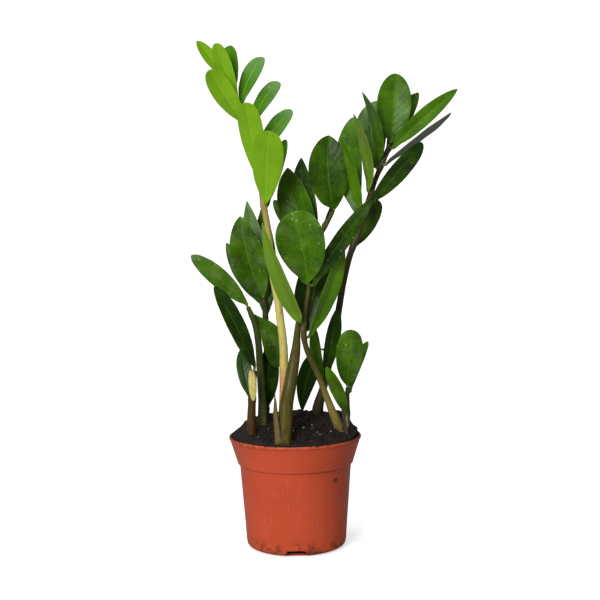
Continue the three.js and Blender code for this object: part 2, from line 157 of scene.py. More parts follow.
def studio():
    """A pale floor that bends up into a lit backdrop, a soft sky and soft boxes at left and above."""
    world = bpy.data.worlds.new("pale_sky")
    world.use_nodes = True
    background = world.node_tree.nodes["Background"]
    background.inputs["Color"].default_value = (1, 1, 1, 1)
    background.inputs["Strength"].default_value = 0.3
    scene.world = world
    bend = np.linspace(0, np.pi / 2, 24)
    y = np.concatenate([[-2.5], 0.75 + 0.6 * np.sin(bend), [1.35]])
    z = np.concatenate([[0], 0.6 - 0.6 * np.cos(bend), [3.2]])
    sweep = np.array([[(side, a, b) for side in (-3.5, 3.5)] for a, b in zip(y, z)]).reshape(-1, 3)
    floor = bpy.data.meshes.new("floor")
    strips = [(2 * k, 2 * k + 1, 2 * k + 3, 2 * k + 2) for k in range(len(y) - 1)]
    floor.from_pydata(sweep.tolist(), [], strips)
    floor.shade_smooth()
    floor.update()
    thing = bpy.data.objects.new("floor", floor)
    scene.collection.objects.link(thing)
    floor.materials.append(pale_paint())
    soft_light("key_light", (-0.5, -1.2, 0.75), (0, 0, 0.18), (0.55, 0.65), 19)
    soft_light("top_light", (-0.15, 0.05, 1.3), (0, 0, 0.2), (0.7, 0.7), 6.5)
    soft_light("backdrop_light", (0, 0.3, 1.6), (0, 1.3, 0.9), (2.4, 0.5), 10)
    scene.view_settings.view_transform = "Standard"


# ------------------------------------------------------------------ curves and surfaces
def spline(knots, values, at):
    """Natural cubic through the values: second derivatives m solve the usual banded system."""
    knots = np.asarray(knots, float)
    values = np.asarray(values, float)
    flat = values.reshape(len(knots), -1)
    gap = np.diff(knots)
    n = len(knots)
    bands = np.eye(n)
    rhs = np.zeros((n, flat.shape[1]))
    slope = np.diff(flat, axis=0) / gap[:, None]
    inner = np.arange(1, n - 1)
    bands[inner, inner - 1] = gap[:-1]
    bands[inner, inner] = 2 * (gap[:-1] + gap[1:])
    bands[inner, inner + 1] = gap[1:]
    rhs[1:-1] = 6 * (slope[1:] - slope[:-1])
    m = np.linalg.solve(bands, rhs)
    at = np.clip(np.asarray(at, float), knots[0], knots[-1])
    i = np.clip(np.searchsorted(knots, at) - 1, 0, n - 2)
    h = gap[i][:, None]
    a = (knots[i + 1] - at)[:, None] / h
    b = (at - knots[i])[:, None] / h
    out = a * flat[i] + b * flat[i + 1]
    out += ((a**3 - a) * m[i] + (b**3 - b) * m[i + 1]) * h * h / 6
    return out.reshape((len(at),) + values.shape[1:])


def smooth_step(low, high, x):
    t = np.clip((x - low) / (high - low), 0, 1)
    return t * t * (3 - 2 * t)


def unit(v):
    return v / np.maximum(np.linalg.norm(v, axis=-1, keepdims=True), 1e-12)


def closed_skin(name, grid, start=None, end=None, marks=None):
    """A tube of rows x columns points, each row a closed loop, with a point at either end.

    Columns run so that (along the loop) x (along the tube) points outwards. marks holds one
    number per point (rows x columns), kept as named attributes for the finish to read.
    """
    grid = np.clip(grid, cad_low, cad_high)
    rows, columns = grid.shape[:2]
    start = grid[0].mean(0) if start is None else start
    end = grid[-1].mean(0) if end is None else end
    points = np.vstack([grid.reshape(-1, 3), start[None], end[None]])
    r, c = np.meshgrid(np.arange(rows - 1), np.arange(columns), indexing="ij")
    n = (c + 1) % columns
    quads = np.stack([r * columns + c, r * columns + n, (r + 1) * columns + n, (r + 1) * columns + c], -1)
    k = np.arange(columns)
    last = (rows - 1) * columns
    first_fan = np.stack([np.full(columns, rows * columns), (k + 1) % columns, k], -1)
    last_fan = np.stack([np.full(columns, rows * columns + 1), last + k, last + (k + 1) % columns], -1)
    mesh = bpy.data.meshes.new(name)
    faces = quads.reshape(-1, 4).tolist() + first_fan.tolist() + last_fan.tolist()
    mesh.from_pydata(points.tolist(), [], faces)
    for key, value in (marks or {}).items():
        value = np.broadcast_to(value, (rows, columns)).astype(np.float32)
        ends = np.array([value[0].mean(), value[-1].mean()], np.float32)
        layer = mesh.attributes.new(key, "FLOAT", "POINT")
        layer.data.foreach_set("value", np.concatenate([value.ravel(), ends]))
    mesh.shade_smooth()
    mesh.update()
    thing = bpy.data.objects.new(name, mesh)
    scene.collection.objects.link(thing)
    return thing


def finish_piece(thing, material, slot_name, *nodes):
    thing.data.materials.clear()
    thing.data.materials.append(material)
    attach(thing, "root")
    if nodes:
        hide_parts(*nodes)


# ------------------------------------------------------------------ reading the frame's solids
def cross_sections(node, sides):
    """The rings of a frame solid that is a closed skin over rings, from one end point to the other.

    Points at one place are merged, and a point's ring is its number of steps from the end point:
    the point with `sides` neighbours from which every ring holds `sides` points.
    """
    mesh = frame["nodes"][node].data
    raw = np.empty(len(mesh.vertices) * 3)
    mesh.vertices.foreach_get("co", raw)
    corner = np.empty(len(mesh.loops), np.int64)
    mesh.loops.foreach_get("vertex_index", corner)
    points, same = np.unique(np.round(raw.reshape(-1, 3), 6), axis=0, return_inverse=True)
    triangles = same.reshape(-1)[corner].reshape(-1, 3)
    near = np.zeros((len(points), len(points)), bool)
    for a, b in ((0, 1), (1, 2), (2, 0)):
        near[triangles[:, a], triangles[:, b]] = True
        near[triangles[:, b], triangles[:, a]] = True
    for first in np.nonzero(near.sum(1) == sides)[0]:
        rings = [np.array([first])]
        seen = np.zeros(len(points), bool)
        seen[first] = True
        while not seen.all():
            ring = np.nonzero(near[rings[-1]].any(0) & ~seen)[0]
            seen[ring] = True
            rings.append(ring)
        if len(rings[-1]) == 1 and all(len(ring) == sides for ring in rings[1:-1]):
            return [points[ring] for ring in rings]
    raise ValueError("no rings found in " + node)


def four_edges(rings):
    """Sorts each four-cornered ring of a blade into left rim, upper midrib, right rim, lower midrib.

    The widest ring is read first: the rims are its two farthest corners, and the blade's upper
    side is the side that its rims rise to. In each next ring the rims are the corners farthest
    along the last ring's width.
    """
    body = [ring for ring in rings if len(ring) == 4]
    middles = np.array([ring.mean(0) for ring in body])
    spans = [np.linalg.norm(ring[:, None] - ring[None], axis=-1) for ring in body]
    widest = int(np.argmax([span.max() for span in spans]))
    ring = body[widest]
    i, j = np.unravel_index(np.argmax(spans[widest]), (4, 4))
    a, b = [k for k in range(4) if k not in (i, j)]
    upward = (ring[i] + ring[j] - ring[a] - ring[b]) / 2
    if (ring[b] - ring[a]) @ upward > 0:
        a, b = b, a
    forward = middles[min(widest + 1, len(body) - 1)] - middles[max(widest - 1, 0)]
    if np.cross(ring[j] - ring[i], forward) @ upward < 0:
        i, j = j, i
    sorted_rings = [None] * len(body)
    sorted_rings[widest] = ring[[i, a, j, b]]
    for step in (1, -1):
        k = widest + step
        while 0 <= k < len(body):
            known = sorted_rings[k - step]
            order = np.argsort(body[k] @ (known[2] - known[0]))
            ribs = sorted(order[1:3], key=lambda m: body[k][m] @ (known[3] - known[1]))
            sorted_rings[k] = body[k][[order[0], ribs[0], order[3], ribs[1]]]
            k += step
    return np.array(sorted_rings)


def stem_line(node):
    """A stem's centres and radii from the soil up, read from its eight-sided rings."""
    rings = cross_sections(node, 8)
    if rings[0][0, 2] > rings[-1][0, 2]:
        rings = rings[::-1]
    centres = np.array([ring.mean(0) for ring in rings])
    radii = np.array([np.linalg.norm(ring - ring.mean(0), axis=1).mean() for ring in rings])
    return centres, radii


# ------------------------------------------------------------------ stems
def stem_tube(name, knobs, stout=1.0):
    """Round tube on a spline through the stem's centres.

    Radius = spline of the ring radii, times 1 + small long ridges + a low swelling at each leaf
    joint; the top is domed. `knobs` holds the heights of the leaf joints.
    """
    centres, radii = stem_line(name)
    inner_centres = centres[1:-1]
    inner_radii = radii[1:-1]
    run = np.concatenate([[0], np.cumsum(np.linalg.norm(np.diff(inner_centres, axis=0), axis=1))])
    length = run[-1]
    at = np.linspace(0, length, STEM_ROWS)
    line = spline(run, inner_centres, at)
    radius = stout * spline(run, inner_radii, at)[:, None]
    tangent = unit(np.gradient(line, axis=0))
    across = unit(np.array([1.0, 0, 0]) - tangent * tangent[:, :1])
    around = np.cross(tangent, across)
    angle = np.linspace(0, 2 * np.pi, STEM_SIDES, endpoint=False)[None]
    seed = sum(map(ord, name))
    ridges = 0.018 * np.sin(7 * angle + seed) + 0.012 * np.sin(12 * angle + 40 * at[:, None] + seed)
    lumps = 0.02 * np.sin(3 * angle + 90 * at[:, None]) * np.sin(210 * at[:, None] + seed)
    swell = np.zeros_like(at)
    for height in knobs:
        swell += 0.16 * np.exp(-(((line[:, 2] - height) / 0.0028) ** 2))
    dome = np.sqrt(np.clip((length - at) / (0.8 * inner_radii[-1]), 0.02, 1))
    size = radius * (1 + ridges + lumps + swell[:, None]) * dome[:, None]
    ring = line[:, None] + size[..., None] * (
        np.cos(angle)[..., None] * across[:, None] + np.sin(angle)[..., None] * around[:, None]
    )
    marks = {"height": ((line[:, 2] - 0.09) / 0.3)[:, None]}
    return closed_skin(name + "_stalk", ring, marks=marks), line, radius[:, 0]


# ------------------------------------------------------------------ leaflets
def leaf_blade(name, stalk_line, tone_and_shade, spots_and_sheen, flat, blunt):
    """A fleshy pointed blade over a grid of s (foot to tip) and v (-1 left rim to 1 right rim).

    Middle surface = midrib(s) + v * half_width(s) + rise(s) * (sqrt(v^2 + e^2) - e) + a small
    wave that grows towards the rims. The two faces stand off it by h * sqrt(1 - v^4), and the
    midrib is a shallow groove above and a low rounded keel below. The foot runs into the stalk.
    """
    rings = cross_sections(name, 4)
    gap = [np.linalg.norm(stalk_line - rings[k][0], axis=1).min() for k in (0, -1)]
    if gap[0] > gap[1]:
        rings = rings[::-1]
    foot, tip = rings[0][0], rings[-1][0]
    edges = four_edges(rings)
    left, upper, right, lower = (edges[:, k] for k in range(4))
    half = (right - left) / 2
    middle = (upper + lower) / 2
    rise = (left + right) / 2 - middle
    thick = np.linalg.norm(upper - lower, axis=1)
    joint = stalk_line[np.argmin(np.linalg.norm(stalk_line - foot, axis=1))]
    inside = foot + (joint - foot) * 0.85
    middle = middle[1:-1] + rise[1:-1] * (1 - flat) * 0.5
    half, rise, thick = half[1:-1], rise[1:-1] * flat, thick[1:-1]
    middle = np.vstack([inside, foot, middle, tip])
    width = np.linalg.norm(half, axis=1)
    width = np.concatenate([[0.0011, 0.0012], width, [0]])
    side = unit(np.vstack([half[0], half[0], half, half[-1]]))
    rise = np.vstack([rise[0] * 0, rise[0] * 0.15, rise, rise[-1] * 0])
    thick = np.concatenate([[0.0021, 0.0021], np.maximum(thick * 0.8, 0.0004), [0.0003]])
    run = np.concatenate([[0], np.cumsum(np.linalg.norm(np.diff(middle, axis=0), axis=1))])
    length = run[-1]
    t = np.linspace(0, 1, LEAF_ROWS)
    s = 0.45 * t + 0.55 * (1 - np.cos(np.pi * t)) / 2
    at = s * length
    middle = spline(run, middle, at)
    width = np.maximum(spline(run, width**blunt, at), 1e-9) ** (1 / blunt)
    half = unit(spline(run, side, at)) * width[:, None]
    rise = spline(run, rise, at)
    thick = np.interp(at, run, thick)
    tangent = unit(np.gradient(middle, axis=0))
    normal = unit(np.cross(half, tangent))
    v = np.sin(np.linspace(-np.pi / 2, np.pi / 2, LEAF_COLUMNS + 1))
    e = 0.16
    cup = (np.sqrt(v * v + e * e) - e) / (math.sqrt(1 + e * e) - e)
    seed = sum(ord(letter) * (k + 3) for k, letter in enumerate(name))
    phase = np.random.default_rng(seed).uniform(0, 2 * np.pi, 6)
    sway = np.where(
        v[None] < 0,
        np.sin(11 * s[:, None] + phase[0]) + 0.6 * np.sin(23 * s[:, None] + phase[1]),
        np.sin(12 * s[:, None] + phase[2]) + 0.6 * np.sin(21 * s[:, None] + phase[3]),
    )
    wave = 0.02 * width[:, None] * np.abs(v[None]) ** 3 * sway
    sheet = middle[:, None] + v[None, :, None] * half[:, None] + cup[None, :, None] * rise[:, None]
    sheet += wave[..., None] * normal[:, None]
    across_m = v[None] * width[:, None]
    fade = smooth_step(0.02, 0.12, s) * (1 - smooth_step(0.75, 1.0, s))
    groove = 0.00028 * np.exp(-((across_m / 0.0007) ** 2)) * fade[:, None]
    keel = 0.0004 * np.exp(-((across_m / 0.0009) ** 2)) * fade[:, None]
    body = thick[:, None] / 2 * np.sqrt(np.clip(1 - v[None] ** 4, 0, 1))
    swelling = 0.00012 * np.sin(2 * np.pi * (9 * s[:, None] - 2.2 * np.abs(v[None])))
    swelling = swelling * (1 - v[None] ** 2) * fade[:, None]
    top = sheet + (body - groove + swelling)[..., None] * normal[:, None]
    under = sheet - (body + keel)[..., None] * normal[:, None]
    grid = np.concatenate([top, under[:, -2:0:-1]], axis=1)
    u = (v + 1) / 2
    across = np.concatenate([u, u[-2:0:-1]])[None]
    face = np.concatenate([np.ones(len(v)), np.zeros(len(v) - 2)])[None]
    face[0, 0] = face[0, len(v) - 1] = 0.5
    marks = {"along": s[:, None], "across": across, "upper": face, "tone_and_shade": tone_and_shade, "spots_and_sheen": spots_and_sheen}
    return closed_skin(name + "_blade", grid, marks=marks)


# ------------------------------------------------------------------ husks
def husk_scale(name, hug=None):
    """A papery pointed scale over s (foot to tip) and v (side to side).

    Middle surface = midrib(s) + v * half_width(s) + rise(s) * v^2, with a ragged rim and long
    fibres; it is 0.35 mm thick. With `hug`, its foot wraps the stalk given by line and radii:
    the middle stands on the stalk's skin at the foot and leaves it with s^1.3 towards the tip.
    """
    rings = cross_sections(name, 4)
    if rings[0][0][2] > rings[-1][0][2]:
        rings = rings[::-1]
    edges = four_edges(rings)
    left, upper, right, lower = (edges[:, k] for k in range(4))
    middle = np.vstack([rings[0][0], (upper + lower) / 2, rings[-1][0]])
    half = np.vstack([(right - left)[0] / 2, (right - left) / 2, (right - left)[-1] * 0.05])
    lift = (left + right - upper - lower) / 2
    rise = np.vstack([lift[:1], lift, np.zeros((1, 3))])
    run = np.linspace(0, 1, len(middle))
    s = np.linspace(0, 1, 60)
    middle, half, rise = spline(run, middle, s), spline(run, half, s), spline(run, rise, s)
    if hug is not None:
        line, stalk_radius = hug
        order = np.argsort(line[:, 2])
        axis = np.stack([np.interp(middle[:, 2], line[order, 2], line[order, k]) for k in range(3)], -1)
        size = np.interp(middle[:, 2], line[order, 2], stalk_radius[order])
        out = middle - axis
        reach = np.linalg.norm(out, axis=1)
        far = size + 0.0005 + np.clip(reach - size, 0, 1) * s**1.3
        out = unit(out)
        sideways = np.cross(np.array([0, 0, 1.0]), out)
        round_about = unit(sideways) * np.sign((sideways * half).sum(1))[:, None]
        spread = 1.7 * (1 - s) ** 0.6 + 0.02
        middle = axis + out * far[:, None]
        half = round_about * (size * np.sin(spread))[:, None]
        rise = -out * (size * (1 - np.cos(spread)))[:, None]
    tangent = unit(np.gradient(middle, axis=0))
    normal = unit(np.cross(half, tangent))
    v = np.linspace(-1, 1, 21)
    seed = sum(map(ord, name))
    if "short_left" in name:
        half = unit(half) * (0.0033 * np.sin(np.pi * np.clip(0.06 + 0.9 * s, 0, 1)) ** 0.8)[:, None]
    ragged = 1 + 0.05 * np.sin(17 * s + seed) * np.sin(41 * s) + 0.03 * np.sin(63 * s + seed)
    sheet = middle[:, None] + v[None, :, None] * half[:, None] * ragged[:, None, None]
    sheet += (v * v)[None, :, None] * rise[:, None] * 1.15
    fibres = 0.00006 * np.sin(34 * v[None] + seed) + 0.00012 * np.sin(9 * v[None] + 6 * s[:, None])
    body = 0.000175 * np.sqrt(np.clip(1 - v[None] ** 6, 0, 1)) * np.ones((len(s), 1))
    top = sheet + (body + fibres)[..., None] * normal[:, None]
    under = sheet + (fibres - body)[..., None] * normal[:, None]
    grid = np.concatenate([top, under[:, -2:0:-1]], axis=1)
    u = (v + 1) / 2
    marks = {"along": s[:, None], "across": np.concatenate([u, u[-2:0:-1]])[None]}
    return closed_skin(name + "_scale", grid, marks=marks)


# ------------------------------------------------------------------ pot
def turned(name, profile):
    """Carries a profile of (radius, height) once round the upright axis."""
    angle = np.linspace(0, 2 * np.pi, POT_SIDES, endpoint=False)
    radius = profile[:, :1]
    height = np.broadcast_to(profile[:, 1:], (len(profile), POT_SIDES))
    grid = np.stack([radius * np.cos(angle), radius * np.sin(angle), height], -1)
    return closed_skin(name, grid)


def rounded(corners, step=0.0009):
    """A run of (radius, height, fillet) corners, each rounded with a quadratic arc of its fillet."""
    corners = np.asarray(corners, float)
    out = [corners[0, :2]]
    for before, here, after in zip(corners[:-2], corners[1:-1], corners[2:]):
        p, fillet = here[:2], here[2]
        back = p + unit(before[:2] - p) * fillet
        on = p + unit(after[:2] - p) * fillet
        t = np.linspace(0, 1, max(2, int(fillet / step * 2) + 3))[:, None]
        out.extend((1 - t) ** 2 * back + 2 * t * (1 - t) * p + t * t * on)
    out.append(corners[-1, :2])
    return np.array(out)


def make_pot():
    _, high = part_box("pot")
    rim, top = high.x, high.z
    foot = rim - FOOT_INSET
    profile = rounded(
        [
            (0.0006, 0.0, 0),
            (rim - 0.0187, 0.0, 0.0006),
            (foot, 0.0016, 0.003),
            (foot + 0.0003, 0.0075, 0.0022),
            (rim - 0.0081, COLLAR_Z - 0.0004, 0.0004),
            (rim - 0.0065, COLLAR_Z - 0.0001, 0.0005),
            (rim - 0.0061, COLLAR_Z + 0.0016, 0.0006),
            (rim - 0.0006, top - 0.0024, 0.0004),
            (rim, top - 0.0021, 0.0004),
            (rim, top, 0.0007),
            (rim - 0.0022, top, 0.0008),
            (rim - 0.0079, COLLAR_Z, 0.002),
            (rim - 0.0095, COLLAR_Z - 0.0012, 0.0015),
            (rim - 0.0144, 0.007, 0.002),
            (rim - 0.0150, 0.0017, 0.002),
            (0.0006, 0.0017, 0),
        ]
    )
    pot = turned("nursery_pot", profile)
    for k in range(NOTCHES):
        cutter = notch_cutter("notch_%d" % k, k * 2 * math.pi / NOTCHES, foot)
        cut = pot.modifiers.new("notch", "BOOLEAN")
        cut.operation = "DIFFERENCE"
        cut.solver = "EXACT"
        cut.object = cutter
        shaped = bpy.data.meshes.new_from_object(pot.evaluated_get(bpy.context.evaluated_depsgraph_get()))
        pot.modifiers.clear()
        pot.data = shaped
        bpy.data.objects.remove(cutter)
    pot.data.name = "nursery_pot"
    pot.data.set_sharp_from_angle(angle=math.radians(40))
    return pot


def notch_cutter(name, turn, wall):
    """An arch-topped block through the wall at the pot's foot, turned about the upright axis."""
    angle = np.linspace(0, np.pi, 16)
    half, tall, round_r = 0.008, 0.0056, 0.0030
    arc_x, arc_z = round_r * np.cos(angle), tall - round_r + round_r * np.sin(angle)
    x = np.concatenate([[half], half - round_r + arc_x[:8], -half + round_r + arc_x[8:], [-half]])
    z = np.concatenate([[-0.003], arc_z, [-0.003]])
    depth = np.array([wall + 0.004, wall - 0.0065])
    grid = np.stack(np.broadcast_arrays(x[None], -depth[:, None], z[None]), -1)
    c, s = math.cos(turn), math.sin(turn)
    grid = grid @ np.array([[c, s, 0], [-s, c, 0], [0, 0, 1]])
    return closed_skin(name, grid[:, ::-1])


# ------------------------------------------------------------------ soil
def height_reader(node):
    """Heights of a frame node's upper skin, by blending its points near each asked x, y."""
    mesh = frame["nodes"][node].data
    raw = np.empty(len(mesh.vertices) * 3)
    mesh.vertices.foreach_get("co", raw)
    points = np.unique(np.round(raw.reshape(-1, 3), 5), axis=0)
    _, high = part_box(node)
    top = points[points[:, 2] > high.z - 0.022]

    def read(x, y):
        x, y = np.broadcast_arrays(x, y)
        shape = x.shape
        d = (x.reshape(-1, 1) - top[:, 0]) ** 2 + (y.reshape(-1, 1) - top[:, 1]) ** 2
        w = 1 / (d + 4e-6) ** 1.6
        return ((w * top[:, 2]).sum(1) / w.sum(1)).reshape(shape)

    return read


def ripple(x, y, scale, seed, octaves=4):
    """Smooth bumps: sums of sine pairs in turned directions, each octave finer and lower."""
    r = np.random.default_rng(seed)
    total = np.zeros(np.broadcast(x, y).shape)
    size = 1.0
    for k in range(octaves):
        for _ in range(3):
            a, p, q = r.uniform(0, 2 * np.pi, 3)
            f = scale * 2.0**k * r.uniform(0.75, 1.3)
            along, across = x * np.cos(a) + y * np.sin(a), y * np.cos(a) - x * np.sin(a)
            total += size * np.sin(f * along + p) * np.cos(f * across * 0.8 + q)
        size *= 0.55
    return total / 3


def make_soil():
    """A lump that fills the pot, with a crumbly top on a polar grid, loose crumbs and white grains."""
    low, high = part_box("soil")
    read = height_reader("soil")
    angle = np.linspace(0, 2 * np.pi, SOIL_SIDES, endpoint=False)[None]
    radius = SOIL_EDGE_R * (1 - np.linspace(0, 1, SOIL_RINGS)[:, None]) + 0.0003
    x, y = radius * np.cos(angle), radius * np.sin(angle)
    z = read(x, y)
    fade = smooth_step(0, 0.004, SOIL_EDGE_R - radius)
    uneven = 1 + 0.3 * np.sin(5 * angle + 1) * np.sin(9 * angle)
    z = z + 0.0024 * smooth_step(0.041, 0.0495, radius) * uneven
    bank = 0.006 * np.exp(-(((x - 0.037) / 0.011) ** 2) - ((y - 0.012) / 0.02) ** 2)
    bank += 0.004 * np.exp(-(((x + 0.036) / 0.011) ** 2) - ((y - 0.012) / 0.02) ** 2)
    z = z + bank + fade * (0.0011 * ripple(x, y, 420, 3) + 0.0006 * ripple(x, y, 1600, 5, 3))
    z = np.minimum(z, high.z + 0.0015)
    top = np.stack(np.broadcast_arrays(x, y, z), -1)
    wall_z = np.array([low.z, low.z + 0.0006, low.z + 0.005, 0.0655, 0.0680, 0.080])
    wall_r = np.array([0.034, 0.0350, 0.0375, 0.0425, 0.0438, 0.0466])
    across, deep = wall_r[:, None] * np.cos(angle), wall_r[:, None] * np.sin(angle)
    wall = np.stack(np.broadcast_arrays(across, deep, wall_z[:, None]), -1)
    soil = closed_skin("potting_soil", np.concatenate([wall, top]))
    r = np.random.default_rng(11)
    crumbs = scatter("soil_crumbs", r, CRUMBS, SOIL_EDGE_R - 0.0012, read, (0.0006, 0.0020), (1.0, 0.85, 0.7))
    reach = SOIL_EDGE_R - 0.003
    chips = scatter("bark_chips", r, BARK_CHIPS, reach, read, (0.0012, 0.0026), (1.0, 0.45, 0.3))
    grains = scatter("perlite_grains", r, PERLITE, reach, read, (0.0005, 0.0011), (1.0, 0.9, 0.8))
    return soil, crumbs, chips, grains


def scatter(name, r, count, reach, read, sizes, squash):
    """Many small lumps on the soil: each a ball of 4 rings of 7 points and a point at either end.

    Ball = (cos u sin v, sin u sin v, -cos v), with every point pushed in or out at random.
    """
    round_u, up_v = np.linspace(0, 2 * np.pi, 7, endpoint=False), np.linspace(0.35, np.pi - 0.35, 4)
    u, v = np.meshgrid(round_u, up_v, indexing="xy")
    ball = np.stack([np.cos(u) * np.sin(v), np.sin(u) * np.sin(v), -np.cos(v)], -1).reshape(-1, 3)
    ball = np.vstack([ball, [[0, 0, -1], [0, 0, 1]]])
    rr, cc = np.meshgrid(np.arange(3), np.arange(7), indexing="ij")
    nn = (cc + 1) % 7
    quads = np.stack([rr * 7 + cc, rr * 7 + nn, (rr + 1) * 7 + nn, (rr + 1) * 7 + cc], -1).reshape(-1, 4)
    k = np.arange(7)
    low_fan = np.stack([np.full(7, 28), (k + 1) % 7, k], -1)
    top_fan = np.stack([np.full(7, 29), 21 + k, 21 + (k + 1) % 7], -1)
    place_r = reach * np.sqrt(r.uniform(0, 1, count))
    place_a = r.uniform(0, 2 * np.pi, count)
    x, y = place_r * np.cos(place_a), place_r * np.sin(place_a)
    z = read(x, y) + 0.0003
    size = r.uniform(sizes[0], sizes[1], count) * r.uniform(0.6, 1.0, count)
    lump = 1 + r.uniform(-0.3, 0.3, (count, len(ball), 1))
    axes = unit(r.normal(size=(count, 3)))
    spin = unit(r.normal(size=(count, 3)))
    spin = unit(spin - axes * (spin * axes).sum(1, keepdims=True))
    third = np.cross(axes, spin)
    turn = np.stack([axes, spin, third], 1)
    shaped = ball[None] * lump * np.array(squash) * size[:, None, None]
    points = np.einsum("nij,njk->nik", shaped, turn) + np.stack([x, y, z], -1)[:, None]
    shift = (np.arange(count) * len(ball))[:, None, None]
    faces = (quads[None] + shift).reshape(-1, 4).tolist()
    faces += (low_fan[None] + shift).reshape(-1, 3).tolist()
    faces += (top_fan[None] + shift).reshape(-1, 3).tolist()
    mesh = bpy.data.meshes.new(name)
    mesh.from_pydata(points.reshape(-1, 3).tolist(), [], faces)
    mesh.update()
    thing = bpy.data.objects.new(name, mesh)
    scene.collection.objects.link(thing)
    return thing


# ------------------------------------------------------------------ finishes
class Wiring:
    """Short names for adding and joining shader nodes in one tree."""

    def __init__(self, tree):
        self.tree = tree

    def add(self, kind, **settings):
        node = self.tree.nodes.new(kind)
        for key, value in settings.items():
            setattr(node, key, value)
        return node

    def join(self, source, target):
        self.tree.links.new(source, target)

    def feed(self, target, value):
        if isinstance(value, bpy.types.NodeSocket):
            self.join(value, target)
        else:
            target.default_value = value

    def math(self, operation, a, b=0.0, clamp=False):
        node = self.add("ShaderNodeMath", operation=operation, use_clamp=clamp)
        self.feed(node.inputs[0], a)
        self.feed(node.inputs[1], b)
        return node.outputs[0]

    def times(self, a, b):
        return self.math("MULTIPLY", a, b)

    def plus(self, a, b, clamp=False):
        return self.math("ADD", a, b, clamp)

    def minus(self, a, b, clamp=False):
        return self.math("SUBTRACT", a, b, clamp)

    def blend(self, factor, a, b):
        node = self.add("ShaderNodeMix", data_type="RGBA")
        self.feed(node.inputs[0], factor)
        self.feed(node.inputs[6], a)
        self.feed(node.inputs[7], b)
        return node.outputs[2]

    def span(self, value, low, high, to_low=0.0, to_high=1.0):
        node = self.add("ShaderNodeMapRange", interpolation_type="SMOOTHSTEP")
        self.feed(node.inputs["Value"], value)
        for key, number in (("From Min", low), ("From Max", high), ("To Min", to_low), ("To Max", to_high)):
            self.feed(node.inputs[key], number)
        return node.outputs[0]

    def mark(self, name):
        return self.add("ShaderNodeAttribute", attribute_name=name).outputs["Fac"]

    def place(self):
        return self.add("ShaderNodeTexCoord").outputs["Object"]

    def noise(self, vector, scale, detail=4.0, roughness=0.55):
        node = self.add("ShaderNodeTexNoise")
        self.join(vector, node.inputs["Vector"])
        self.feed(node.inputs["Scale"], scale)
        node.inputs["Detail"].default_value = detail
        node.inputs["Roughness"].default_value = roughness
        return node.outputs["Fac"]

    def cells(self, vector, scale):
        """Distance to the nearest cell's middle, and three random numbers for that cell."""
        node = self.add("ShaderNodeTexVoronoi", feature="F1")
        self.join(vector, node.inputs["Vector"])
        self.feed(node.inputs["Scale"], scale)
        numbers = self.add("ShaderNodeSeparateColor")
        self.join(node.outputs["Color"], numbers.inputs[0])
        return node.outputs["Distance"], numbers.outputs

    def stretched(self, vector, scale, turn=(0.0, 0.0, 0.0)):
        node = self.add("ShaderNodeMapping")
        self.join(vector, node.inputs["Vector"])
        node.inputs["Rotation"].default_value = turn
        node.inputs["Scale"].default_value = scale
        return node.outputs[0]

    def bump(self, shader, height, strength, distance):
        node = self.add("ShaderNodeBump")
        node.inputs["Strength"].default_value = strength
        node.inputs["Distance"].default_value = distance
        self.join(height, node.inputs["Height"])
        self.join(node.outputs[0], shader["Normal"])

    def group(self, tree, **values):
        node = self.add("ShaderNodeGroup", node_tree=tree)
        for key, value in values.items():
            self.feed(node.inputs[key.replace("_", " ")], value)
        return node


def new_group(name, inputs, outputs):
    tree = bpy.data.node_groups.new(name, "ShaderNodeTree")
    for kind, label, value in inputs:
        made = tree.interface.new_socket(name=label, in_out="INPUT", socket_type=kind)
        if value is not None:
            made.default_value = value
    for kind, label in outputs:
        tree.interface.new_socket(name=label, in_out="OUTPUT", socket_type=kind)
    w = Wiring(tree)
    return tree, w, w.add("NodeGroupInput").outputs, w.add("NodeGroupOutput").inputs


NUMBER, COLOUR, ARROW = "NodeSocketFloat", "NodeSocketColor", "NodeSocketVector"


def water_spots():
    """Pale dried drops: small round cells of which only some are kept, with a soft brighter rim."""
    tree, w, given, out = new_group(
        "dried_water_spots",
        [(ARROW, "Vector", None), (NUMBER, "Scale", 330.0), (NUMBER, "Amount", 0.3)],
        [(NUMBER, "Spots")],
    )
    distance, numbers = w.cells(given["Vector"], given["Scale"])
    kept = w.math("LESS_THAN", numbers[0], given["Amount"])
    reach = w.times(numbers[1], 0.26)
    reach = w.plus(reach, 0.09)
    near = w.math("DIVIDE", distance, reach)
    disc = w.span(near, 1.0, 0.55)
    ring = w.times(w.span(near, 0.35, 0.7), disc)
    strength = w.plus(w.times(disc, 0.6), w.times(ring, 0.5))
    w.join(w.times(strength, kept), out["Spots"])
    return tree


def dust_film():
    """A thin dry haze that lies in soft patches."""
    tree, w, given, out = new_group(
        "dust_film",
        [(ARROW, "Vector", None), (NUMBER, "Patch Size", 60.0), (NUMBER, "Amount", 0.5)],
        [(NUMBER, "Haze")],
    )
    patch = w.noise(given["Vector"], given["Patch Size"], 6.0, 0.5)
    grain = w.noise(given["Vector"], 1400.0, 2.0)
    haze = w.span(patch, 0.42, 0.72)
    haze = w.times(haze, w.span(grain, 0.25, 0.75, 0.55, 1.0))
    w.join(w.times(haze, given["Amount"]), out["Haze"])
    return tree


